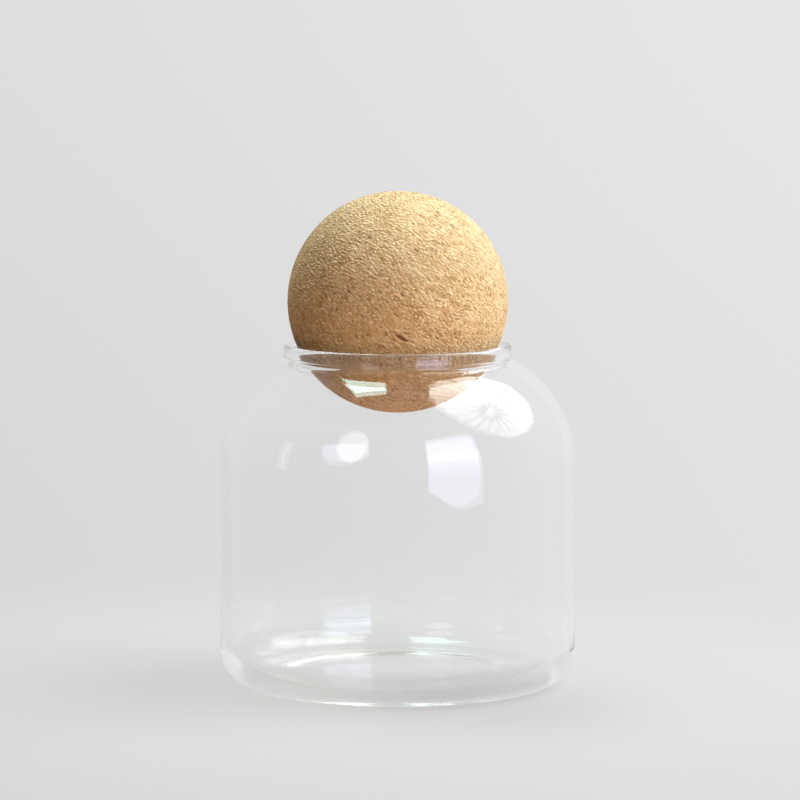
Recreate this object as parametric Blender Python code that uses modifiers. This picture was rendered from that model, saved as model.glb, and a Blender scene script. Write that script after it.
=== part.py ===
"""Glass candle jar closed by a cork ball. Metres, +Z up, the foot on z = 0 and the axis on Z."""

import math

import bmesh
import bpy
from mathutils import Vector

COLLECTION_NAME = "glass_candle_jar"

# The glass body
BODY_RADIUS = 0.0500
RIM_HEIGHT = 0.0957
WALL = 0.0028
FLOOR = 0.0032
SHOULDER_RADIUS = 0.0323
HEEL_RADIUS = 0.0092
INSIDE_HEEL_RADIUS = 0.0080
FOOT_INNER_RADIUS = 0.0340
FOOT_RISE = 0.0006

# The neck and its rounded lip
NECK_RADIUS = 0.0316
NECK_FILLET_RADIUS = 0.0015
LIP_OVERHANG = 0.0004
LIP_SWELL = 0.00045

# The cork ball, which is larger than the mouth and so rests on the lip
BALL_OVERSIZE = 0.0027
SEAT_GAP = 0.0003

# How finely round shapes are cut into flats
FACET_ERROR = 0.00006
JAR_STEPS = 64
BALL_SEGMENTS = 48
BALL_RINGS = 24
MERGE_DISTANCE = 0.00001

# Worked out from the sizes above
LIP_RADIUS = WALL / 2 + LIP_SWELL
LIP_CENTRE_RADIUS = NECK_RADIUS + LIP_OVERHANG - LIP_RADIUS
LIP_CENTRE_HEIGHT = RIM_HEIGHT - LIP_RADIUS
MOUTH_RADIUS = LIP_CENTRE_RADIUS - LIP_RADIUS
BALL_RADIUS = MOUTH_RADIUS + BALL_OVERSIZE

UP = math.radians(90)
HALF_TURN = math.radians(180)


def on_circle(centre, radius, angle):
    return centre + radius * Vector((math.cos(angle), math.sin(angle)))


def arc(centre, radius, start, end):
    """Points (distance from the axis, height) from start to end, flat to within FACET_ERROR."""
    widest_step = 2 * math.acos(1 - min(FACET_ERROR / radius, 1))
    steps = max(1, math.ceil(abs(end - start) / widest_step))
    return [on_circle(centre, radius, start + (end - start) * i / steps) for i in range(steps + 1)]


def underside():
    """The foot ring is flat, and inside it the glass rises in a very shallow dome to the axis."""
    dome_radius = (FOOT_INNER_RADIUS**2 + FOOT_RISE**2) / (2 * FOOT_RISE)
    dome_centre = Vector((0, FOOT_RISE - dome_radius))
    lean = math.asin(FOOT_INNER_RADIUS / dome_radius)
    return arc(dome_centre, dome_radius, UP - lean, UP)


def jar_profile():
    """The wall's whole section, from the middle of the inside floor, up, over the lip and down outside.

    The shoulder, the neck's fillet and the lip are circles that touch one another. The inside is the
    same circles with the wall's thickness taken off, so the wall is even from the heel to the lip.
    """
    lip_centre = Vector((LIP_CENTRE_RADIUS, LIP_CENTRE_HEIGHT))
    lip_to_fillet = LIP_RADIUS + NECK_FILLET_RADIUS
    fillet_across = lip_to_fillet - LIP_OVERHANG
    fillet_lean = -math.acos(fillet_across / lip_to_fillet)
    fillet_centre = on_circle(lip_centre, lip_to_fillet, fillet_lean)

    shoulder_to_fillet = SHOULDER_RADIUS + NECK_FILLET_RADIUS
    shoulder_across = fillet_centre.x - (BODY_RADIUS - SHOULDER_RADIUS)
    shoulder_turn = math.acos(shoulder_across / shoulder_to_fillet)
    wall_top = fillet_centre.y - shoulder_to_fillet * math.sin(shoulder_turn)
    shoulder_centre = Vector((BODY_RADIUS - SHOULDER_RADIUS, wall_top))

    inside_fillet_radius = NECK_FILLET_RADIUS + WALL
    throat_lean = math.acos((LIP_RADIUS - inside_fillet_radius) / lip_to_fillet)
    throat_angle = 2 * HALF_TURN + fillet_lean - throat_lean

    inside_heel_centre = Vector((BODY_RADIUS - WALL - INSIDE_HEEL_RADIUS, FLOOR + INSIDE_HEEL_RADIUS))
    heel_centre = Vector((BODY_RADIUS - HEEL_RADIUS, HEEL_RADIUS))

    points = [Vector((0, FLOOR))]
    points += arc(inside_heel_centre, INSIDE_HEEL_RADIUS, -UP, 0)
    points += arc(shoulder_centre, SHOULDER_RADIUS - WALL, 0, shoulder_turn)
    points += arc(fillet_centre, inside_fillet_radius, HALF_TURN + shoulder_turn, throat_angle)[1:]
    points += arc(lip_centre, LIP_RADIUS, throat_angle, UP)
    points += arc(lip_centre, LIP_RADIUS, UP, fillet_lean)[1:]
    points += arc(fillet_centre, NECK_FILLET_RADIUS, HALF_TURN + fillet_lean, HALF_TURN + shoulder_turn)[1:]
    points += arc(shoulder_centre, SHOULDER_RADIUS, shoulder_turn, 0)[1:]
    points += arc(heel_centre, HEEL_RADIUS, 0, -UP)
    points += underside()
    return points


def ball_height():
    """The height of the ball's centre when the ball rests on the lip, with the seat's gap between them."""
    centre_to_lip = BALL_RADIUS + SEAT_GAP + LIP_RADIUS
    return LIP_CENTRE_HEIGHT + math.sqrt(centre_to_lip**2 - LIP_CENTRE_RADIUS**2)


def principled(name, color, roughness, metallic=0.0):
    material = bpy.data.materials.new(name)
    material.use_nodes = True
    material.diffuse_color = color
    shader = material.node_tree.nodes["Principled BSDF"]
    shader.inputs["Base Color"].default_value = color
    shader.inputs["Roughness"].default_value = roughness
    shader.inputs["Metallic"].default_value = metallic
    return material, shader


def clear_glass():
    material, shader = principled("clear_glass", (0.96, 0.98, 0.97, 1.0), roughness=0.0)
    shader.inputs["Transmission Weight"].default_value = 1.0
    shader.inputs["IOR"].default_value = 1.473
    return material


def pressed_cork():
    material, _ = principled("pressed_cork", (0.56, 0.36, 0.19, 1.0), roughness=0.9)
    return material


def new_object(name, mesh, material, collection):
    obj = bpy.data.objects.new(name, mesh)
    obj.data.materials.append(material)
    collection.objects.link(obj)
    return obj


def make_glass_jar(collection):
    """One turned body: the section is drawn in the XZ plane and swept round Z."""
    points = [(point.x, 0, point.y) for point in jar_profile()]
    edges = [(i, i + 1) for i in range(len(points) - 1)]
    mesh = bpy.data.meshes.new("glass_jar")
    mesh.from_pydata(points, edges, [])
    jar = new_object("glass_jar", mesh, clear_glass(), collection)
    screw = jar.modifiers.new("turned", "SCREW")
    screw.axis = "Z"
    screw.angle = 2 * HALF_TURN
    screw.steps = JAR_STEPS
    screw.render_steps = JAR_STEPS
    screw.use_merge_vertices = True
    screw.merge_threshold = MERGE_DISTANCE
    screw.use_smooth_shade = True
    return jar


def make_cork_ball(collection):
    """A whole ball, whose lower part hangs inside the mouth. Its origin is its centre, on the jar's axis."""
    shape = bmesh.new()
    bmesh.ops.create_uvsphere(shape, u_segments=BALL_SEGMENTS, v_segments=BALL_RINGS, radius=BALL_RADIUS)
    mesh = bpy.data.meshes.new("cork_ball_stopper")
    shape.to_mesh(mesh)
    shape.free()
    mesh.shade_smooth()
    ball = new_object("cork_ball_stopper", mesh, pressed_cork(), collection)
    ball.location = (0, 0, ball_height())
    return ball


def clear_scene():
    for obj in list(bpy.data.objects):
        bpy.data.objects.remove(obj, do_unlink=True)


def main():
    clear_scene()
    collection = bpy.data.collections.new(COLLECTION_NAME)
    bpy.context.scene.collection.children.link(collection)
    jar = make_glass_jar(collection)
    ball = make_cork_ball(collection)
    ball.parent = jar


main()
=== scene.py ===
import math

import bpy
from mathutils import Euler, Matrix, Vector


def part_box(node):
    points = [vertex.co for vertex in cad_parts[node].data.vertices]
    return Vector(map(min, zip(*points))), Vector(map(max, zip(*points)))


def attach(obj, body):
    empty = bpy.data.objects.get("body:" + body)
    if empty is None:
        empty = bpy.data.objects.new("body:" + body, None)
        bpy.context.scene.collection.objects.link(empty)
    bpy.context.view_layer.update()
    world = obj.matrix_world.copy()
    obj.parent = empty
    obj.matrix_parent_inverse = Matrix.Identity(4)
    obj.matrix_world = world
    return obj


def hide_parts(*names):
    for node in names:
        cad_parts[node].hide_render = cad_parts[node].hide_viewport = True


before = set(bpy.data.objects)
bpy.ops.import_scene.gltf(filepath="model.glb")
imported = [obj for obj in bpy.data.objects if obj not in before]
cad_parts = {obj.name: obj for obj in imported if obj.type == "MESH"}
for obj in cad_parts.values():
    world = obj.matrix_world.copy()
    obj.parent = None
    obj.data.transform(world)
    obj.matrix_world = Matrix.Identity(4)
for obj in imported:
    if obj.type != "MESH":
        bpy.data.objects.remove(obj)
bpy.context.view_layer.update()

# Glass candle jar closed by a cork ball: fine meshes, finishes, soft studio light and camera.
# Lengths are metres, the jar stands on z = 0 and its axis is Z.
# The jar's width and height and the ball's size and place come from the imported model.

_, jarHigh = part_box("glass_jar")
ballLow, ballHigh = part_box("cork_ball_stopper")
ballCentre = (ballLow + ballHigh) / 2
ballRadius = (ballHigh.z - ballLow.z) / 2
scene = bpy.context.scene
halfTurn = math.pi


class Wire:
    # One socket of a node tree. Arithmetic on wires adds the Math nodes it needs.
    # Every other node comes from node().
    def __init__(self, tree, socket=None):
        self.tree = tree
        self.socket = socket

    def node(self, kind, settings=None, values=None, output=0):
        made = self.tree.nodes.new(kind)
        for name, value in (settings or {}).items():
            if name == "stops":
                self.setStops(made.color_ramp, value)
            else:
                setattr(made, name, value)
        for name, value in (values or {}).items():
            socket = made.inputs[name] if isinstance(name, int) else self.named(made.inputs, name)
            if isinstance(value, Wire):
                self.tree.links.new(value.socket, socket)
            elif socket.type == "VECTOR" and isinstance(value, (int, float)):
                socket.default_value = (value, value, value)
            else:
                socket.default_value = value
        outputs = made.outputs
        if not len(outputs):
            return Wire(self.tree)
        return Wire(self.tree, outputs[output] if isinstance(output, int) else self.named(outputs, output))

    def other(self, name):
        return Wire(self.tree, self.named(self.socket.node.outputs, name))

    @staticmethod
    def named(sockets, name):
        return next(socket for socket in sockets if socket.enabled and socket.name == name)

    @staticmethod
    def setStops(ramp, stops):
        while len(ramp.elements) < len(stops):
            ramp.elements.new(1.0)
        for element, (place, color) in zip(ramp.elements, stops):
            element.position = place
            element.color = (*color, 1.0)

    def arithmetic(self, operation, first, second=0.0):
        wires = [part for part in (first, second) if isinstance(part, Wire)]
        isVector = any(part.socket.type in ("VECTOR", "RGBA") for part in wires)
        kind = "ShaderNodeVectorMath" if isVector else "ShaderNodeMath"
        return self.node(kind, {"operation": operation}, {0: first, 1: second})

    def __add__(self, other):
        return self.arithmetic("ADD", self, other)

    def __radd__(self, other):
        return self.arithmetic("ADD", other, self)

    def __sub__(self, other):
        return self.arithmetic("SUBTRACT", self, other)

    def __rsub__(self, other):
        return self.arithmetic("SUBTRACT", other, self)

    def __mul__(self, other):
        return self.arithmetic("MULTIPLY", self, other)

    def __rmul__(self, other):
        return self.arithmetic("MULTIPLY", other, self)

    def __truediv__(self, other):
        return self.arithmetic("DIVIDE", self, other)

    def __rtruediv__(self, other):
        return self.arithmetic("DIVIDE", other, self)

    def __pow__(self, other):
        return self.arithmetic("POWER", self, other)

    def __abs__(self):
        return self.arithmetic("ABSOLUTE", self)

    # 0 where the wire is at low, 1 where it is at high, and soft at both ends
    def between(self, low, high):
        values = {"Value": self, "From Min": low, "From Max": high}
        return self.node("ShaderNodeMapRange", {"interpolation_type": "SMOOTHSTEP"}, values)

    def noise(self, length, detail=2.0, roughness=0.5, distortion=0.0):
        values = {"Vector": self, "Scale": 1 / length, "Detail": detail, "Roughness": roughness}
        return self.node("ShaderNodeTexNoise", None, {**values, "Distortion": distortion})

    def cells(self, length):
        return self.node("ShaderNodeTexVoronoi", None, {"Vector": self, "Scale": 1 / length})

    def length(self):
        return self.node("ShaderNodeVectorMath", {"operation": "LENGTH"}, {0: self}, "Value")

    def direction(self):
        return self.node("ShaderNodeVectorMath", {"operation": "NORMALIZE"}, {0: self}, "Vector")

    # the three numbers of a vector or a colour, each as a wire of its own
    def parts(self):
        split = self.node("ShaderNodeSeparateXYZ", None, {"Vector": self})
        return split.other("X"), split.other("Y"), split.other("Z")

    def mixed(self, first, second):
        values = {"Factor": self, "A": first, "B": second}
        return self.node("ShaderNodeMix", {"data_type": "RGBA"}, values, "Result")


def newMaterial(name, sockets):
    # a Principled material, the constants set on the shader's own sockets
    material = bpy.data.materials.new(name)
    material.use_nodes = True
    shader = material.node_tree.nodes["Principled BSDF"]
    for socket, value in sockets.items():
        shader.inputs[socket].default_value = value
    return material, shader, Wire(material.node_tree)


def feed(shader, socket, wire):
    wire.tree.links.new(wire.socket, shader.inputs[socket])


def newObject(name, mesh):
    made = bpy.data.objects.new(name, mesh)
    scene.collection.objects.link(made)
    return made


def newGeometryTree(name, inputs):
    # inputs: name of each input socket and its type
    tree = bpy.data.node_groups.new(name, "GeometryNodeTree")
    tree.interface.new_socket("Geometry", in_out="INPUT", socket_type="NodeSocketGeometry")
    tree.interface.new_socket("Geometry", in_out="OUTPUT", socket_type="NodeSocketGeometry")
    for label, kind in inputs.items():
        tree.interface.new_socket(label, in_out="INPUT", socket_type=kind)
    return tree, Wire(tree).node("NodeGroupInput")


def grow(name, mesh, tree, values):
    # runs the tree once on the mesh and keeps the plain result, with no modifier left
    seed = newObject(name + "_seed", mesh)
    modifier = seed.modifiers.new("shape", "NODES")
    modifier.node_group = tree
    for item in tree.interface.items_tree:
        if item.in_out == "INPUT" and item.name in values:
            modifier[item.identifier] = values[item.name]
    bpy.context.view_layer.update()
    result = bpy.data.meshes.new_from_object(seed.evaluated_get(bpy.context.evaluated_depsgraph_get()))
    bpy.data.objects.remove(seed)
    result.name = name
    return newObject(name, result)


def directionOf(turn, rise):
    # degrees round from the camera, to the right, and degrees up
    turn, rise = math.radians(turn), math.radians(rise)
    return Vector((math.sin(turn) * math.cos(rise), -math.cos(turn) * math.cos(rise), math.sin(rise)))


jar = {
    "wall": 0.0028,
    "floor": 0.0032,
    "shoulderRadius": 0.0323,
    "heelRadius": 0.0092,
    "insideHeelRadius": 0.0080,
    "footInnerRadius": 0.0340,
    "footRise": 0.0006,
    "footRamp": 0.0045,  # how far in from the foot ring the underside has risen
    "footSteps": 12,
    "neckRadius": 0.0316,
    "neckFilletRadius": 0.0015,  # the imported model's bend here, which says how high the shoulder stands
    "lipOverhang": 0.0004,
    "lipSwell": 0.00045,
    "lipTopCorner": 0.0011,  # the lip's outside is a flat band between two round corners
    "lipLowCorner": 0.0008,
    "lipBandLow": 0.0029,  # below the rim, where the flat band ends
    "crease": 0.00045,  # the sharp bend between the lip and the shoulder
    "facetError": 0.000002,  # how far the section's short straight lines may miss the true arcs
    "aroundSteps": 288,
    "mergeDistance": 0.000002,
    "wallRipple": 0.00006,  # blown glass is never quite even
    "rippleLength": 0.034,
    "rippleStarts": (0.002, 0.012),  # the heights over which the wall's ripple sets in
    "baseRipple": 0.00004,  # the inside floor, where the tube was closed
    "baseRippleLength": 0.020,
    "baseRippleStarts": (0.0015, 0.0028),
    "baseRippleEnds": (0.0036, 0.0070),
    "facingUp": (0.3, 0.9),  # how level a face of the inside floor is
    "glassTint": (0.998, 1.0, 0.999, 1.0),
    "glassIndex": 1.473,
    "shineFaceOn": (0.985, 0.990, 0.988, 1.0),  # what the wall lets through of a lamp's light
    "shineEdgeOn": (0.920, 0.930, 0.925, 1.0),  # and where the light runs along it
    "edgeBlend": 0.35,
    "edgePower": 3,
}


def onCircle(centre, radius, angle):
    return centre + radius * Vector((math.cos(angle), math.sin(angle)))


def arc(centre, radius, start, end):
    widestStep = 2 * math.acos(1 - min(jar["facetError"] / radius, 1))
    steps = max(2, math.ceil(abs(end - start) / widestStep))
    return [onCircle(centre, radius, start + (end - start) * i / steps) for i in range(steps + 1)]


def straight(start, end, longestStep):
    steps = max(1, math.ceil((end - start).length / longestStep))
    return [start.lerp(end, i / steps) for i in range(1, steps)]


def shoulderCentreFrom(lipCentre, lipRadius):
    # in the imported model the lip, the neck's bend and the shoulder are circles that touch one another
    lipToFillet = lipRadius + jar["neckFilletRadius"]
    filletLean = -math.acos((lipToFillet - jar["lipOverhang"]) / lipToFillet)
    filletCentre = onCircle(lipCentre, lipToFillet, filletLean)
    shoulderToFillet = jar["shoulderRadius"] + jar["neckFilletRadius"]
    shoulderTurn = math.acos((filletCentre.x - jarHigh.x + jar["shoulderRadius"]) / shoulderToFillet)
    wallTop = filletCentre.y - shoulderToFillet * math.sin(shoulderTurn)
    return Vector((jarHigh.x - jar["shoulderRadius"], wallTop))


def jarSection():
    # Distance from the axis and height, from the middle of the inside floor, up, over the lip and down.
    # The lip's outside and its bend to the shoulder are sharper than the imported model's.
    bodyRadius = jarHigh.x
    quarter = halfTurn / 2
    lipEdge = jar["neckRadius"] + jar["lipOverhang"]
    lipRadius = jar["wall"] / 2 + jar["lipSwell"]
    lipCentre = Vector((lipEdge - lipRadius, jarHigh.z - lipRadius))
    shoulderCentre = shoulderCentreFrom(lipCentre, lipRadius)
    topCorner = Vector((lipEdge - jar["lipTopCorner"], jarHigh.z - jar["lipTopCorner"]))
    lowCorner = Vector((lipEdge - jar["lipLowCorner"], jarHigh.z - jar["lipBandLow"]))
    cornerToCrease = jar["lipLowCorner"] + jar["crease"]
    shoulderToCrease = jar["shoulderRadius"] + jar["crease"]
    down = shoulderCentre - lowCorner
    across = (cornerToCrease**2 + down.length**2 - shoulderToCrease**2) / (2 * down.length)
    creaseLean = math.atan2(down.y, down.x) + math.acos(across / cornerToCrease)
    creaseCentre = onCircle(lowCorner, cornerToCrease, creaseLean)
    creaseEnd = math.atan2(creaseCentre.y - shoulderCentre.y, creaseCentre.x - shoulderCentre.x)
    insideCrease = jar["crease"] + jar["wall"]
    fromLip = creaseCentre - lipCentre
    throatLean = math.acos((lipRadius - insideCrease) / fromLip.length)
    throatAngle = 2 * halfTurn + math.atan2(fromLip.y, fromLip.x) - throatLean
    insideHeelRadius = jar["insideHeelRadius"]
    insideRadius = bodyRadius - jar["wall"]
    insideHeelCentre = Vector((insideRadius - insideHeelRadius, jar["floor"] + insideHeelRadius))
    heelCentre = Vector((bodyRadius - jar["heelRadius"], jar["heelRadius"]))
    footInner = Vector((jar["footInnerRadius"], 0))
    footRamp = []
    for i in range(jar["footSteps"] + 1):
        share = i / jar["footSteps"]
        risen = share * share * (3 - 2 * share)
        footRamp.append(footInner + Vector((-jar["footRamp"] * share, jar["footRise"] * risen)))
    underMiddle = Vector((0, jar["footRise"]))

    insideHeel = arc(insideHeelCentre, insideHeelRadius, -quarter, 0)
    insideShoulder = arc(shoulderCentre, jar["shoulderRadius"] - jar["wall"], 0, creaseEnd)
    insideNeck = arc(creaseCentre, insideCrease, halfTurn + creaseEnd, throatAngle)
    lip = arc(lipCentre, lipRadius, throatAngle, quarter) + arc(topCorner, jar["lipTopCorner"], quarter, 0)
    lip += arc(lowCorner, jar["lipLowCorner"], 0, creaseLean)
    neck = arc(creaseCentre, jar["crease"], halfTurn + creaseLean, halfTurn + creaseEnd)
    shoulder = arc(shoulderCentre, jar["shoulderRadius"], creaseEnd, 0)
    heel = arc(heelCentre, jar["heelRadius"], 0, -quarter)
    insideMiddle = Vector((0, jar["floor"]))
    step = jar["wall"]
    points = [insideMiddle, *straight(insideMiddle, insideHeel[0], step / 2)]
    points += [*insideHeel, *straight(insideHeel[-1], insideShoulder[0], step)]
    points += [*insideShoulder, *insideNeck[1:], *lip, *neck[1:], *shoulder[1:]]
    points += [*straight(shoulder[-1], heel[0], step), *heel, *straight(heel[-1], footInner, step)]
    points += [*footRamp, *straight(footRamp[-1], underMiddle, step), underMiddle]
    return points


def turned(section, steps):
    mesh = bpy.data.meshes.new("section")
    corners = [(point.x, 0, point.y) for point in section]
    mesh.from_pydata(corners, [(i, i + 1) for i in range(len(corners) - 1)], [])
    seed = newObject("section", mesh)
    screw = seed.modifiers.new("turned", "SCREW")
    screw.axis = "Z"
    screw.angle = 2 * halfTurn
    screw.steps = screw.render_steps = steps
    screw.use_merge_vertices = True
    screw.merge_threshold = jar["mergeDistance"]
    screw.use_smooth_shade = True
    result = bpy.data.meshes.new_from_object(seed.evaluated_get(bpy.context.evaluated_depsgraph_get()))
    bpy.data.objects.remove(seed)
    return result


def unevenGlassTree():
    # the wall drifts inwards by a few hundredths of a millimetre, and the inside floor waves a little more
    tree, given = newGeometryTree("uneven glass", {
        "Ripple": "NodeSocketFloat",
        "Ripple length": "NodeSocketFloat",
        "Base ripple": "NodeSocketFloat",
        "Base ripple length": "NodeSocketFloat",
        "Material": "NodeSocketMaterial",
    })
    place = given.node("GeometryNodeInputPosition")
    normal = given.node("GeometryNodeInputNormal", None, None, "Normal")
    height = place.parts()[2]
    wave = place.noise(given.other("Ripple length"), 1.0)
    floorWave = place.noise(given.other("Base ripple length"), 1.5, 0.5, 0.6)
    onWall = height.between(*jar["rippleStarts"])
    onFloor = height.between(*jar["baseRippleStarts"]) * (1 - height.between(*jar["baseRippleEnds"]))
    facesUp = normal.parts()[2].between(*jar["facingUp"])
    inwards = wave * given.other("Ripple") * onWall
    dip = (floorWave - 0.5) * given.other("Base ripple") * onFloor * facesUp
    offset = normal * (dip - inwards)
    moved = given.node("GeometryNodeSetPosition", None, {
        "Geometry": given.other("Geometry"), "Offset": offset})
    real = given.node("GeometryNodeRealizeInstances", None, {"Geometry": moved})
    painted = given.node("GeometryNodeSetMaterial", None, {
        "Geometry": real, "Material": given.other("Material")})
    given.node("NodeGroupOutput", None, {"Geometry": painted})
    return tree


def clearGlass():
    material, shader, start = newMaterial("clearGlass", {
        "Base Color": jar["glassTint"],
        "Roughness": 0.0,
        "IOR": jar["glassIndex"],
        "Transmission Weight": 1.0,
    })
    # lamps shine through the wall; where the wall is seen edge on it still takes some of their light
    edge = start.node("ShaderNodeLayerWeight", None, {"Blend": jar["edgeBlend"]}, "Facing")
    faceOn = start.node("ShaderNodeBsdfTransparent", None, {"Color": jar["shineFaceOn"]})
    edgeOn = start.node("ShaderNodeBsdfTransparent", None, {"Color": jar["shineEdgeOn"]})
    clear = start.node("ShaderNodeMixShader", None, {0: edge ** jar["edgePower"], 1: faceOn, 2: edgeOn})
    isShadow = start.node("ShaderNodeLightPath", None, None, "Is Shadow Ray")
    solid = Wire(start.tree, shader.outputs["BSDF"])
    surface = start.node("ShaderNodeMixShader", None, {0: isShadow, 1: solid, 2: clear})
    output = start.tree.nodes["Material Output"]
    start.tree.links.new(surface.socket, output.inputs["Surface"])
    return material


glassJar = grow("glass_jar_clear", turned(jarSection(), jar["aroundSteps"]), unevenGlassTree(), {
    "Ripple": jar["wallRipple"],
    "Ripple length": jar["rippleLength"],
    "Base ripple": jar["baseRipple"],
    "Base ripple length": jar["baseRippleLength"],
    "Material": clearGlass(),
})
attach(glassJar, "jar")
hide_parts("glass_jar")
print("glass jar:", len(glassJar.data.polygons), "faces")


cork = {
    "facesAcross": 128,  # squares along each side of the cube that is blown up into the ball
    "grainLean": 28,  # degrees: the pressed grain runs down to the right
    "grainStretch": 2.3,  # how much longer than wide the flecks are
    "driftLength": 0.006,  # the grain wanders by drift, over this length
    "drift": 0.0030,
    "granule": 0.0024,
    "granuleStep": 0.00003,  # how unevenly the granules were sanded
    "ridgeLength": 0.00105,
    "ridge": 0.00007,
    "ridgeEdges": (0.30, 0.70),  # how sharply a ridge rises out of its furrow
    "fleckLength": 0.00060,
    "fleckDepth": 0.00021,
    "swell": 0.00012,
    "swellLength": 0.022,
    "pitSpacing": 0.0025,
    "pit": 0.00050,
    "pitDepth": 0.00035,
    "barePits": 0.12,  # the share of places left without a pit
    "leastPit": 0.0001,  # keeps those places from a division by zero
    "wornPitTurn": 2.5,  # the one large pit low on the front, degrees round from the camera and up
    "wornPitRise": -14.3,
    "wornPit": 0.0027,
    "wornPitLean": 33,
    "wornPitStretch": 4.0,
    "chipGap": 0.00100,  # between the middles of neighbouring chips
    "chipLength": 0.00064,
    "chipWidth": 0.00025,
    "chipHeight": 0.00011,
    "chipRoom": 0.7,  # the ground is lowered by this share of a chip's height, within the ball's radius
    "chipDensity": 3.0e6,  # tries on a square metre, before the ones that stand too close are left out
    "chipLengths": (0.55, 1.45),  # the smallest and the largest, as shares of the sizes above
    "chipWidths": (0.65, 1.35),
    "chipHeights": (0.45, 1.00),
    "chipWander": 1.6,  # how far the chips turn aside from the grain
    "chipWanderLength": 0.004,
    "chipSeed": 7,
}

# Colours of the cork's parts, and how much of each is laid over what is under it.
corkTones = {
    "granules": ((0.00, (0.68, 0.460, 0.220)), (0.30, (0.76, 0.545, 0.282)),
                 (0.80, (0.80, 0.588, 0.318)), (1.00, (0.84, 0.635, 0.358))),
    "chips": ((0.00, (0.60, 0.380, 0.170)), (0.22, (0.76, 0.545, 0.280)),
              (0.72, (0.85, 0.650, 0.360)), (1.00, (0.98, 0.850, 0.570))),
    "sheen": (1.0, 0.95, 0.75, 1.0),
    "base": 0.73,  # the granules' own brightness, to which the next three add
    "flakeShare": 0.25,
    "fineShare": 0.22,
    "weatherShare": 0.05,
    "weatherLength": 0.009,
    # painted shade: this colour darkens the low furrows between the ridges
    "furrow": (0.42, 0.20, 0.075, 1.0),
    "furrowShare": 0.14,
    # partly the cork's own specks, partly painted shade on the sunken flakes and painted highlight on the
    # raised ones
    "darkFleckShade": (0.40, 0.19, 0.07, 1.0),
    "darkFleckShare": 0.62,
    "darkFlecks": (0.04, 0.26),  # a flake whose random height is under these is dark
    "paleFleckHighlight": (0.97, 0.82, 0.54, 1.0),
    "paleFleckShare": 0.60,
    "paleFlecks": (0.78, 0.96),  # and one whose height is over these is pale
    # the pits' colours: the cork's own dark pores, deepened with painted shade in the hollows
    "pit": (0.17, 0.075, 0.034, 1.0),
    "pitShare": 0.85,
    "wornPit": (0.26, 0.085, 0.040, 1.0),
    "wornPitShare": 0.75,
    "roughness": 0.90,
    "flakeSmoothness": 0.14,
    "slopeRelief": 0.5,  # the flakes' slope, the fine grain and the ridges beside the flakes' own height
    "fineRelief": 0.5,
    "ridgeRelief": 0.35,
    "chipRoughness": 0.66,
    "chipRoughnessGain": 0.24,
    "chipBase": 0.88,
    "chipFineShare": 0.22,
    "chipGrainLength": 0.0004,
    "chipGrainDepth": 0.00004,
}


def alongGrain(place, lean, stretch):
    # the same places turned to the grain and squeezed along it, so that a pattern comes out as long flecks
    lean = math.radians(lean)
    across, deep, up = place.parts()
    along = (across * math.cos(lean) - up * math.sin(lean)) / stretch
    crosswise = across * math.sin(lean) + up * math.cos(lean)
    return place.node("ShaderNodeCombineXYZ", None, {"X": along, "Y": deep, "Z": crosswise})


def corkPattern(place):
    # place: metres from the ball's centre. Used for the shape and for the colour, so that they agree
    drift = place.noise(cork["driftLength"], 1.5).other("Color") - 0.5
    bent = alongGrain(place + drift * cork["drift"], cork["grainLean"], cork["grainStretch"])
    tone = bent.cells(cork["granule"]).other("Color").parts()[0]
    ridge = bent.noise(cork["ridgeLength"], 1.0, 0.5, 0.4).between(*cork["ridgeEdges"])
    swell = place.noise(cork["swellLength"], 1.0)
    hollows = bent.cells(cork["pitSpacing"])
    chance = hollows.other("Color").parts()[1].between(cork["barePits"], 1.0)
    pitSize = chance * (cork["pit"] / cork["pitSpacing"]) + cork["leastPit"]
    pits = 1 - (hollows / pitSize).between(0.5, 1.0)
    spot = directionOf(cork["wornPitTurn"], cork["wornPitRise"]) * ballRadius
    fromSpot = place + drift * (cork["drift"] / 3) - tuple(spot)
    distance = alongGrain(fromSpot, cork["wornPitLean"], cork["wornPitStretch"]).length()
    wornPit = 1 - (distance * cork["wornPitStretch"]).between(cork["wornPit"] / 2, cork["wornPit"])
    pit = pits.arithmetic("MAXIMUM", pits, wornPit)
    return {"bent": bent, "tone": tone, "ridge": ridge, "swell": swell, "pit": pit, "wornPit": wornPit}


def corkBallTree():
    tree, given = newGeometryTree("pressed cork ball", {
        "Radius": "NodeSocketFloat",
        "Centre height": "NodeSocketFloat",
        "Faces across": "NodeSocketInt",
        "Material": "NodeSocketMaterial",
    })
    corners = given.other("Faces across") + 1
    cube = given.node("GeometryNodeMeshCube", None, {
        "Size": 2.0, "Vertices X": corners, "Vertices Y": corners, "Vertices Z": corners}, "Mesh")
    # the tangent evens out the squares, which would crowd at the cube's corners
    along = [part * (halfTurn / 4) for part in given.node("GeometryNodeInputPosition").parts()]
    spread = [part.arithmetic("TANGENT", part) for part in along]
    onCube = given.node("ShaderNodeCombineXYZ", None, {"X": spread[0], "Y": spread[1], "Z": spread[2]})
    outwards = onCube.direction()
    pattern = corkPattern(outwards * given.other("Radius"))
    loss = (1 - pattern["swell"]) * cork["swell"] + (1 - pattern["tone"]) * cork["granuleStep"]
    loss = loss + (1 - pattern["ridge"]) * cork["ridge"] + pattern["pit"] * cork["pitDepth"]
    loss = loss + cork["chipHeight"] * cork["chipRoom"]
    centre = given.node("ShaderNodeCombineXYZ", None, {"Z": given.other("Centre height")})
    placed = outwards * (given.other("Radius") - loss) + centre
    moved = given.node("GeometryNodeSetPosition", None, {"Geometry": cube, "Position": placed})
    smooth = given.node("GeometryNodeSetShadeSmooth", None, {"Geometry": moved})
    real = given.node("GeometryNodeRealizeInstances", None, {"Geometry": smooth})
    painted = given.node("GeometryNodeSetMaterial", None, {
        "Geometry": real, "Material": given.other("Material")})
    given.node("NodeGroupOutput", None, {"Geometry": painted})
    return tree


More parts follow.
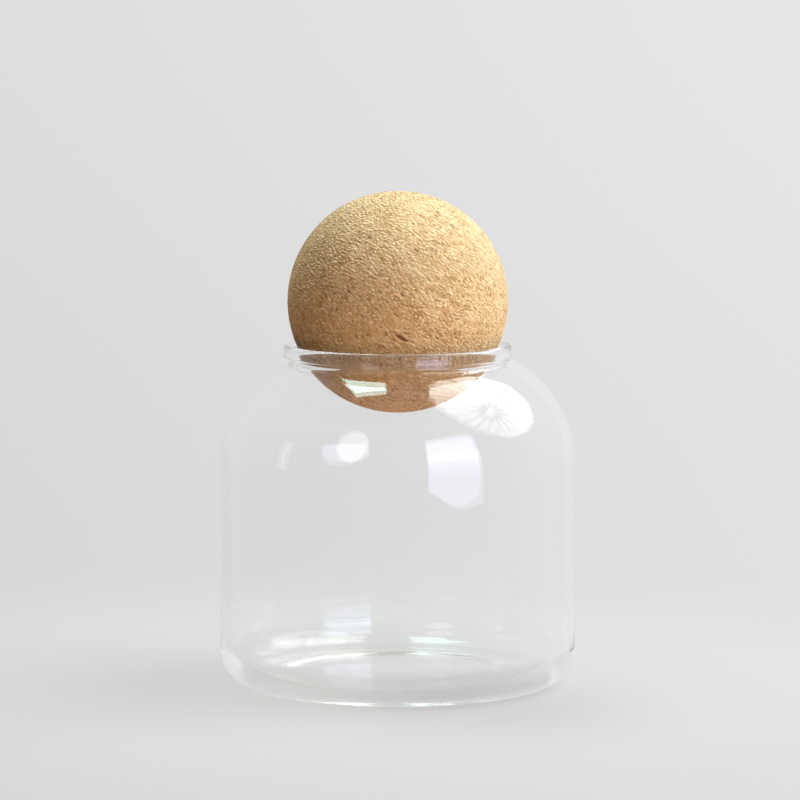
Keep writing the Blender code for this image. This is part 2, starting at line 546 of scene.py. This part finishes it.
def chipTree():
    # thin flakes of cork that stand a hair above the ball's ground, laid along the grain
    tree, given = newGeometryTree("cork chips", {
        "Radius": "NodeSocketFloat",
        "Centre height": "NodeSocketFloat",
        "Gap": "NodeSocketFloat",
        "Length": "NodeSocketFloat",
        "Width": "NodeSocketFloat",
        "Height": "NodeSocketFloat",
        "Seed": "NodeSocketInt",
        "Material": "NodeSocketMaterial",
    })
    centre = given.node("ShaderNodeCombineXYZ", None, {"Z": given.other("Centre height")})
    points = given.node("GeometryNodeDistributePointsOnFaces", {"distribute_method": "POISSON"}, {
        "Mesh": given.other("Geometry"),
        "Distance Min": given.other("Gap"),
        "Density Max": cork["chipDensity"],
        "Seed": given.other("Seed"),
    }, "Points")
    fromCentre = given.node("GeometryNodeInputPosition") - centre
    outwards = fromCentre.direction()
    pattern = corkPattern(outwards * given.other("Radius"))
    ground = (1 - pattern["swell"]) * cork["swell"] + given.other("Height")
    keep = 1 - pattern["pit"]

    lean = math.radians(cork["grainLean"])
    wander = (fromCentre.noise(cork["chipWanderLength"], 1.0).other("Color") - 0.5) * cork["chipWander"]
    pole = wander + (math.sin(lean), 0.0, math.cos(lean))
    grainwise = outwards.arithmetic("CROSS_PRODUCT", outwards, pole)
    upright = given.node("FunctionNodeAlignRotationToVector", {"axis": "Z"}, {"Vector": outwards})
    laid = given.node("FunctionNodeAlignRotationToVector", {"axis": "X", "pivot_axis": "Z"}, {
        "Rotation": upright, "Vector": grainwise})

    def anyOf(limits, offset):
        values = {"Min": limits[0], "Max": limits[1], "Seed": given.other("Seed") + offset}
        return given.node("FunctionNodeRandomValue", {"data_type": "FLOAT"}, values, "Value")

    size = given.node("ShaderNodeCombineXYZ", None, {
        "X": given.other("Length") * anyOf(cork["chipLengths"], 1) * keep,
        "Y": given.other("Width") * anyOf(cork["chipWidths"], 2) * keep,
        "Z": given.other("Height") * anyOf(cork["chipHeights"], 3) * keep,
    })
    onGround = outwards * (given.other("Radius") - ground) + centre
    placed = given.node("GeometryNodeSetPosition", None, {"Geometry": points, "Position": onGround})
    chip = given.node("GeometryNodeMeshIcoSphere", None, {"Radius": 1.0, "Subdivisions": 1}, "Mesh")
    rounded = given.node("GeometryNodeSetShadeSmooth", None, {"Geometry": chip})
    chips = given.node("GeometryNodeInstanceOnPoints", None, {
        "Points": placed, "Instance": rounded, "Rotation": laid, "Scale": size})
    toned = given.node("GeometryNodeStoreNamedAttribute", {"data_type": "FLOAT", "domain": "INSTANCE"}, {
        "Geometry": chips, "Name": "chipTone", "Value": anyOf((0.0, 1.0), 4)})
    real = given.node("GeometryNodeRealizeInstances", None, {"Geometry": toned})
    painted = given.node("GeometryNodeSetMaterial", None, {
        "Geometry": real, "Material": given.other("Material")})
    given.node("NodeGroupOutput", None, {"Geometry": painted})
    return tree


def corkShader(name):
    material, shader, start = newMaterial(name, {
        "Specular IOR Level": 0.35,
        "Sheen Weight": 0.15,
        "Sheen Roughness": 0.4,
        "Sheen Tint": corkTones["sheen"],
    })
    fromCentre = start.node("ShaderNodeMapping", None, {
        "Vector": start.node("ShaderNodeTexCoord", None, None, "Object"),
        "Location": tuple(-ballCentre),
    })
    return material, shader, fromCentre


def pressedCork():
    material, shader, fromCentre = corkShader("pressedCork")
    pattern = corkPattern(fromCentre.direction() * ballRadius)
    granules = fromCentre.node("ShaderNodeValToRGB", {"stops": corkTones["granules"]}, {
        "Fac": pattern["tone"]}, "Color")
    # small flakes lie one over the next like shingles, each with its own height and tone
    flakes = pattern["bent"].cells(cork["fleckLength"])
    height, shade, _ = flakes.other("Color").parts()
    fine = pattern["bent"].noise(cork["fleckLength"] * 0.6, 2.0, 0.6)
    weathered = fromCentre.noise(corkTones["weatherLength"], 2.0)
    level = corkTones["base"] + shade * corkTones["flakeShare"] + fine * corkTones["fineShare"]
    mottled = granules * (level + weathered * corkTones["weatherShare"])
    # painted shade in the furrows, where the ridges leave the ground low
    furrow = (1 - pattern["ridge"]) ** 2 * corkTones["furrowShare"]
    furrowShaded = furrow.mixed(mottled, corkTones["furrow"])
    # the cork's own dark and pale specks, tied to the flakes' heights: painted shade on the sunken ones,
    # painted highlight on the raised ones
    dark = (1 - height.between(*corkTones["darkFlecks"])) * corkTones["darkFleckShare"]
    speckedAndShaded = dark.mixed(furrowShaded, corkTones["darkFleckShade"])
    pale = height.between(*corkTones["paleFlecks"]) * corkTones["paleFleckShare"]
    fleckedAndHighlit = pale.mixed(speckedAndShaded, corkTones["paleFleckHighlight"])
    # the dark pores and the large pit: their own colour, deepened with painted shade in the hollows
    pitsShaded = (pattern["pit"] * corkTones["pitShare"]).mixed(fleckedAndHighlit, corkTones["pit"])
    largePitShaded = (pattern["wornPit"] * corkTones["wornPitShare"]).mixed(pitsShaded, corkTones["wornPit"])
    feed(shader, "Base Color", largePitShaded)
    feed(shader, "Roughness", corkTones["roughness"] - shade * corkTones["flakeSmoothness"])
    relief = height - flakes * corkTones["slopeRelief"] + fine * corkTones["fineRelief"]
    relief = relief + pattern["ridge"] * corkTones["ridgeRelief"]
    bump = fromCentre.node("ShaderNodeBump", None, {
        "Strength": 1.0, "Distance": cork["fleckDepth"], "Height": relief})
    feed(shader, "Normal", bump)
    return material


def chipCork():
    material, shader, fromCentre = corkShader("chipCork")
    tone = fromCentre.node("ShaderNodeAttribute", {"attribute_name": "chipTone"}, None, "Fac")
    ramp = fromCentre.node("ShaderNodeValToRGB", {"stops": corkTones["chips"]}, {"Fac": tone}, "Color")
    fine = fromCentre.noise(corkTones["chipGrainLength"], 2.0, 0.55)
    feed(shader, "Base Color", ramp * (corkTones["chipBase"] + fine * corkTones["chipFineShare"]))
    feed(shader, "Roughness", corkTones["chipRoughness"] + fine * corkTones["chipRoughnessGain"])
    bump = fromCentre.node("ShaderNodeBump", None, {
        "Strength": 0.6, "Distance": corkTones["chipGrainDepth"], "Height": fine})
    feed(shader, "Normal", bump)
    return material


corkBall = grow("cork_ball_pressed", bpy.data.meshes.new("empty"), corkBallTree(), {
    "Radius": ballRadius,
    "Centre height": ballCentre.z,
    "Faces across": cork["facesAcross"],
    "Material": pressedCork(),
})
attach(corkBall, "stopper")
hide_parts("cork_ball_stopper")
print("cork ball:", len(corkBall.data.polygons), "faces")

corkChips = grow("cork_ball_chips", corkBall.data.copy(), chipTree(), {
    "Radius": ballRadius,
    "Centre height": ballCentre.z,
    "Gap": cork["chipGap"],
    "Length": cork["chipLength"],
    "Width": cork["chipWidth"],
    "Height": cork["chipHeight"],
    "Seed": cork["chipSeed"],
    "Material": chipCork(),
})
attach(corkChips, "stopper")
print("cork chips:", len(corkChips.data.polygons), "faces")


studio = {
    "floorRadius": 1.6,
    "floorGap": 0.0001,  # keeps the glass foot from lying in the floor's own plane
    "floorTone": (0.19, 0.188, 0.186, 1.0),  # as the camera, mirrors and glass see it
    "floorGlow": 0.44,  # the share of its look that no shadow reaches, for the same three
    "floorBounce": (0.95, 0.53, 0.34, 1.0),  # as it lights the ball and the jar: a warm table
    "fadeFrom": 0.10,  # from here on the floor gives way to the backdrop
    "fadeTo": 0.26,
    "backdrop": 0.765,
    "backdropAcross": 0.048,  # lighter to the right, darker to the left
    "backdropDown": 0.045,  # darker towards the floor
    "backdropReach": 0.16,
    "roomBehind": 1.0,  # what mirrors see behind the jar and in front of it, as shares of the backdrop
    "roomInFront": 0.78,
    "roomTurns": (-0.7, 0.7),  # how far ahead a look goes while the one gives way to the other
    "ceilingDark": 0.35,
    "ceilingStarts": (0.50, 0.92),
    "fill": 0.09,
    "fillTint": (1.0, 0.72, 0.52),
    "fillBelow": 0.75,  # the fill light from below and what it gains towards the ceiling
    "fillGain": 0.5,
    "fillRises": (-0.4, 0.9),
}

# Each lamp: degrees round from the camera (to the right), degrees up, distance, size, and brightness,
# where 1 is white. "roll" turns it about its own axis, "swing" turns it aside from the jar, and an upright
# lamp isn't tilted down. The glass shows the mirrored lamps. The others light the cork and the floor.
lamps = {
    "umbrella": {"turn": 100, "rise": 50, "away": 0.90, "size": (1.00, 1.00), "shape": "DISK",
                 "bright": 5.0, "tint": (1.0, 1.03, 0.97), "mirrored": True},
    "window right": {"turn": 37, "rise": 17.84, "away": 1.089, "size": (0.67, 0.92), "shape": "RECTANGLE",
                     "bright": 6.0, "tint": (0.90, 0.90, 1.22), "mirrored": True,
                     "swing": 5, "upright": True},
    "blob left": {"turn": -32, "rise": 29, "away": 1.30, "size": (0.44, 0.68), "shape": "ELLIPSE",
                  "bright": 2.4, "tint": (0.96, 0.95, 1.0), "mirrored": True},
    "strip left": {"turn": -80, "rise": 12, "away": 1.20, "size": (0.12, 0.45), "shape": "RECTANGLE",
                   "bright": 1.2, "tint": (0.98, 1.0, 1.0), "mirrored": True},
    "panel above": {"turn": -141, "rise": 72.7, "away": 1.08, "size": (0.25, 0.48), "shape": "RECTANGLE",
                    "bright": 10.0, "tint": (0.66, 1.0, 0.92), "mirrored": True, "roll": -38.7},
    "key right": {"turn": 94, "rise": 45, "away": 0.93, "size": (1.00, 1.00), "shape": "DISK",
                  "bright": 4.9, "tint": (0.94, 1.05, 1.14)},
    "key above": {"turn": -150, "rise": 66, "away": 1.05, "size": (0.30, 0.48), "shape": "RECTANGLE",
                  "bright": 16.4, "tint": (0.95, 1.02, 0.90), "roll": -38.7},
    "front right": {"turn": 37, "rise": 4, "away": 1.089, "size": (0.67, 0.80), "shape": "RECTANGLE",
                    "bright": 3.8, "tint": (1.0, 0.80, 0.66)},
    "front left": {"turn": -32, "rise": 10, "away": 1.30, "size": (0.44, 0.68), "shape": "ELLIPSE",
                   "bright": 1.0, "tint": (1.0, 0.80, 0.66)},
}
roundShapes = ("DISK", "ELLIPSE")

# The umbrella's inside as the glass mirrors it. Places and sizes are shares of its radius.
umbrella = {
    "hubAcross": -0.20,
    "hubUp": -0.13,
    "hubInner": (0.070, 0.10),  # the hub is a ring with soft edges
    "hubOuter": (0.192, 0.24),
    "hubShade": 0.72,
    "ribs": 16,
    "ribWidth": 0.44,
    "ribShade": 0.72,
    "edge": (0.965, 0.985),
    "scallop": 0.06,  # how far the edge is cut in between two ribs
    "rodWidth": 0.022,
    "rodLean": 0.35,
    "rodShade": 0.40,
    "middle": 1.05,  # the cloth's brightness at its middle, and what it loses towards its edge
    "edgeShade": 0.16,
    "sideways": (0.8, 0.6),  # the brightness also changes across the cloth, in this direction
    "sides": (-0.9, 0.9),
    "dimSide": 0.50,  # low on the right in the glass, as a share of the brightness
    "brightSide": 1.40,  # high on the left, over the cork
}

# The window's cloth, from -1 at its lower end to 1 at its top.
window = {
    "cloth": 0.36,
    "clothGain": 0.30,
    "clothRises": (-1.0, 0.3),
    "bandUp": 0.05,  # a brighter band across the middle
    "bandReach": 0.25,
    "bandGain": 0.36,
    "topShade": 0.5,
    "topStarts": (0.6, 1.0),
}


def makeLamp(name, lamp, aim):
    light = bpy.data.lights.new(name, "AREA")
    light.shape = lamp["shape"]
    light.size, light.size_y = lamp["size"]
    area = lamp["size"][0] * lamp["size"][1] * (halfTurn / 4 if lamp["shape"] in roundShapes else 1)
    light.energy = lamp["bright"] * halfTurn * area  # a lamp's brightness is its power over pi and its area
    light.color = lamp["tint"]
    made = newObject(name, light)
    made.location = aim + directionOf(lamp["turn"], lamp["rise"]) * lamp["away"]
    towards = aim - made.location
    if lamp.get("upright"):
        towards.z = 0
    towards.rotate(Euler((0, 0, math.radians(lamp.get("swing", 0)))))
    made.rotation_euler = towards.to_track_quat("-Z", "Y").to_euler()
    made.rotation_euler.rotate_axis("Z", math.radians(lamp.get("roll", 0)))
    made.visible_camera = False
    made.visible_glossy = made.visible_transmission = lamp.get("mirrored", False)
    made.visible_diffuse = not lamp.get("mirrored", False)
    return light


def glow(light, pattern=None):
    # A pattern takes the places across and up the lamp, -1 to 1, and gives its brightness there.
    # Dull surfaces behind the glass don't gather this lamp's light: the other lamps already light them.
    light.use_nodes = True
    start = Wire(light.node_tree)
    strength = 1 - start.node("ShaderNodeLightPath", None, None, "Diffuse Depth").between(0.0, 1.0)
    if pattern:
        across, up, _ = start.node("ShaderNodeNewGeometry", None, None, "Parametric").parts()
        strength = strength * pattern(across * 2 - 1, up * 2 - 1)
    emission = start.node("ShaderNodeEmission", None, {"Strength": strength}, "Emission")
    start.tree.links.new(emission.socket, start.tree.nodes["Light Output"].inputs["Surface"])


def umbrellaGlow(x, y):
    out = (x * x + y * y) ** 0.5
    fromHubAcross, fromHubUp = x - umbrella["hubAcross"], y - umbrella["hubUp"]
    fromHub = (fromHubAcross * fromHubAcross + fromHubUp * fromHubUp) ** 0.5
    angle = x.node("ShaderNodeMath", {"operation": "ARCTAN2"}, {0: fromHubUp, 1: fromHubAcross})
    fold = abs(x.node("ShaderNodeMath", {"operation": "SINE"}, {0: angle * (umbrella["ribs"] / 2)}))
    inside = 1 - (out + fold * umbrella["scallop"]).between(*umbrella["edge"])
    rib = 1 - (fold * fromHub).between(0.0, umbrella["ribWidth"])
    rib = rib * fromHub.between(umbrella["hubInner"][1], umbrella["hubOuter"][1])
    hub = fromHub.between(*umbrella["hubInner"]) * (1 - fromHub.between(*umbrella["hubOuter"]))
    aside = abs(fromHubUp + fromHubAcross * umbrella["rodLean"])
    rod = 1 - aside.between(umbrella["rodWidth"] / 2, umbrella["rodWidth"])
    rod = rod * fromHubAcross.between(0.0, umbrella["rodWidth"])
    side = (x * umbrella["sideways"][0] + y * umbrella["sideways"][1]).between(*umbrella["sides"])
    side = side * (umbrella["brightSide"] - umbrella["dimSide"]) + umbrella["dimSide"]
    lit = (umbrella["middle"] - out * umbrella["edgeShade"] - rod * umbrella["rodShade"]) * side
    return inside * lit * (1 - rib * umbrella["ribShade"]) * (1 - hub * umbrella["hubShade"])


def windowGlow(x, y):
    # it changes only upwards, so x isn't needed
    band = 1 - abs(y - window["bandUp"]).between(0.0, window["bandReach"])
    cloth = window["cloth"] + y.between(*window["clothRises"]) * window["clothGain"]
    top = 1 - y.between(*window["topStarts"]) * window["topShade"]
    return (cloth + band * window["bandGain"]) * top


def seenPath(start):
    # The first is 1 where the camera looks, directly, in a mirror or through glass, and the second is 1
    # where a mirror is on the way. Light that a dull surface gathers through the glass is neither.
    isCamera = start.node("ShaderNodeLightPath", None, None, "Is Camera Ray")
    isGlossy, isThrough = isCamera.other("Is Glossy Ray"), isCamera.other("Is Transmission Ray")
    gathered = isCamera.other("Diffuse Depth").between(0.0, 1.0)
    seen = (isCamera + isGlossy + isThrough).between(0.0, 1.0) * (1 - gathered)
    reflections = isCamera.other("Glossy Depth")
    return seen, seen * (1 - isCamera) * reflections.between(0.0, 1.0) * (1 - reflections.between(1.0, 2.0))


def makeBackdrop():
    # The camera, mirrors and glass see a pale grey that is a little lighter to the right.
    # The fill light is dimmer.
    world = bpy.data.worlds.new("studio")
    world.use_nodes = True
    scene.world = world
    start = Wire(world.node_tree)
    across, ahead, up = start.node("ShaderNodeTexCoord", None, None, "Generated").parts()
    level = across.between(-studio["backdropReach"], studio["backdropReach"]) * 2 - 1
    grey = level * studio["backdropAcross"] + studio["backdrop"]
    grey = grey - up.between(0.0, -studio["backdropReach"]) * studio["backdropDown"]
    fill = up.between(*studio["fillRises"]) * studio["fillGain"] + studio["fillBelow"]
    seen, mirrored = seenPath(start)
    behind = ahead.between(*studio["roomTurns"]) * (studio["roomBehind"] - studio["roomInFront"])
    room = grey * (behind + studio["roomInFront"])
    room = room * (1 - up.between(*studio["ceilingStarts"]) * studio["ceilingDark"])
    grey = grey * (1 - mirrored) + room * mirrored
    backdrop = start.node("ShaderNodeBackground", None, {
        "Color": start.node("ShaderNodeCombineColor", None, {"Red": grey, "Green": grey, "Blue": grey})})
    light = start.node("ShaderNodeBackground", None, {
        "Color": (*studio["fillTint"], 1.0), "Strength": fill * studio["fill"]})
    both = start.node("ShaderNodeMixShader", None, {0: seen, 1: light, 2: backdrop})
    start.tree.links.new(both.socket, start.tree.nodes["World Output"].inputs["Surface"])


def makeFloor():
    place = (0, 0, -studio["floorGap"])
    bpy.ops.mesh.primitive_circle_add(
        vertices=128, radius=studio["floorRadius"], fill_type="TRIFAN", location=place)
    floor = bpy.context.object
    floor.name = "floor"
    material, shader, start = newMaterial("paleFloor", {
        "Roughness": 0.85,
        "Specular IOR Level": 0.2,
        "Emission Strength": 1.0,
    })
    seen, _ = seenPath(start)
    black = (0.0, 0.0, 0.0, 1.0)
    glowing = (studio["floorGlow"], studio["floorGlow"], studio["floorGlow"], 1.0)
    feed(shader, "Base Color", seen.mixed(studio["floorBounce"], studio["floorTone"]))
    feed(shader, "Emission Color", seen.mixed(black, glowing))
    away = start.node("ShaderNodeTexCoord", None, None, "Object").length()
    clear = start.node("ShaderNodeBsdfTransparent")
    solid = Wire(start.tree, shader.outputs["BSDF"])
    fade = away.between(studio["fadeFrom"], studio["fadeTo"])
    surface = start.node("ShaderNodeMixShader", None, {0: fade, 1: solid, 2: clear})
    start.tree.links.new(surface.socket, start.tree.nodes["Material Output"].inputs["Surface"])
    floor.data.materials.append(material)
    floor.visible_glossy = False  # the reflected lamps reach below the floor's line


makeBackdrop()
makeFloor()
aim = Vector((0, 0, jarHigh.z / 2))
glows = {"umbrella": umbrellaGlow, "window right": windowGlow}
for name, lamp in lamps.items():
    light = makeLamp(name, lamp, aim)
    if lamp.get("mirrored"):
        glow(light, glows.get(name))
print("studio:", len(lamps), "lamps")


view = {
    "distance": 1.300,
    "lookDown": 6.39,  # degrees
    "aimHeight": 0.0798,
    "focalPixels": 4632,  # the lens's focal length, in pixels of the picture
    "imagePixels": 800,
    "axisPixel": 397.7,  # where the jar's axis stands in the picture
    "sensor": 36,
}


def makeCamera():
    camera = bpy.data.cameras.new("camera")
    camera.sensor_width = view["sensor"]
    camera.lens = view["focalPixels"] / view["imagePixels"] * view["sensor"]
    camera.shift_x = (view["imagePixels"] / 2 - view["axisPixel"]) / view["imagePixels"]
    tilt = math.radians(view["lookDown"])
    ahead = Vector((0, math.cos(tilt), -math.sin(tilt)))
    made = newObject("camera", camera)
    made.location = Vector((0, 0, view["aimHeight"])) - ahead * view["distance"]
    made.rotation_euler = ahead.to_track_quat("-Z", "Y").to_euler()
    scene.camera = made


makeCamera()
scene.view_settings.view_transform = "Standard"
# light runs down inside the wall from the lip to the heel, and is lost if it is cut off on the way
scene.cycles.max_bounces = 128
scene.cycles.glossy_bounces = 96
scene.cycles.transmission_bounces = 48
scene.cycles.transparent_max_bounces = 32

bpy.context.view_layer.update()
